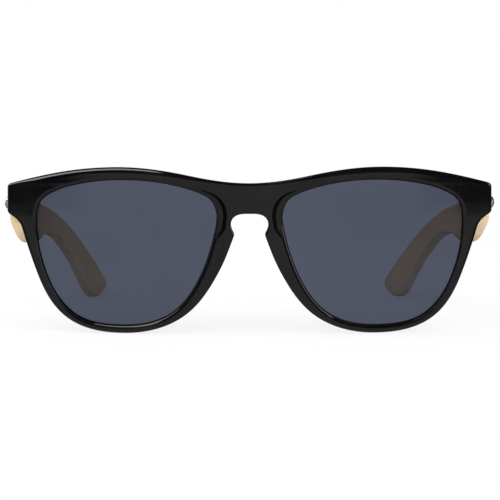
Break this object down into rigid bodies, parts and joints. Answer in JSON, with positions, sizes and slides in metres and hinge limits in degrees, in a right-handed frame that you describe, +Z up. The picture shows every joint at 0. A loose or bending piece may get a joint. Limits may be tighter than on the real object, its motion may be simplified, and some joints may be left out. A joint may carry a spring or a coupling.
{
  "type": "sunglasses",
  "caption": "Sunglasses with a glossy moulded front, keyhole bridge, tinted lenses, flat bamboo temples and sprung hinges that let the temples fold.",
  "frame": {"origin": "on the table, under the middle of the whole pair", "axes": "+Z up from the table, -Y out of the front, +X to the wearer's left"},
  "size_m": [0.1474, 0.1606, 0.0493],
  "materials": {
    "black_plastic": "polished black polycarbonate",
    "grey_lens": "grey tinted polycarbonate, polished",
    "bamboo": "fine sanded bamboo, thin clear oil",
    "hinge_steel": "plated hinge metal",
    "screw_steel": "turned steel",
    "spring_steel": "drawn spring wire",
    "brass_nut": "turned brass",
    "rivet_chrome": "polished dome"
  },
  "bodies": {
    "front": {"front_frame": "black_plastic", "left_lens": "grey_lens", "left_front_hinge": "hinge_steel", "left_hinge_screw": "screw_steel", "left_lug_rivet": "rivet_chrome", "right_lens": "grey_lens", "right_front_hinge": "hinge_steel", "right_hinge_screw": "screw_steel", "right_lug_rivet": "rivet_chrome"},
    "left_slider": {"left_hinge_slider": "hinge_steel", "left_slider_nut": "brass_nut"},
    "left_temple": {"left_temple": "bamboo", "left_spring_box": "hinge_steel", "left_hinge_spring": "spring_steel", "left_front_box_screw": "screw_steel", "left_rear_box_screw": "screw_steel"},
    "right_slider": {"right_hinge_slider": "hinge_steel", "right_slider_nut": "brass_nut"},
    "right_temple": {"right_temple": "bamboo", "right_spring_box": "hinge_steel", "right_hinge_spring": "spring_steel", "right_front_box_screw": "screw_steel", "right_rear_box_screw": "screw_steel"}
  },
  "joints": [
    {"name": "left_fold", "type": "hinge", "parent": "front", "child": "left_slider", "pos_m": [0.06557, -0.06104, 0.0392], "axis": [0, 0, 1], "range_deg": [-1.4, 84.6]},
    {"name": "left_flex", "type": "slide", "parent": "left_slider", "child": "left_temple", "axis": [-0.1216, 0.9626, -0.2419], "range_m": [0, 0.0012], "stiffness_N_per_m": 1000, "springref_m": -0.002, "deforming": ["left_hinge_spring"]},
    {"name": "right_fold", "type": "hinge", "parent": "front", "child": "right_slider", "pos_m": [-0.06557, -0.06104, 0.0392], "axis": [0, 0, -1], "range_deg": [0, 80]},
    {"name": "right_flex", "type": "slide", "parent": "right_slider", "child": "right_temple", "axis": [0.0981, 0.9653, -0.2419], "range_m": [0, 0.0012], "stiffness_N_per_m": 1000, "springref_m": -0.002, "deforming": ["right_hinge_spring"]}
  ]
}
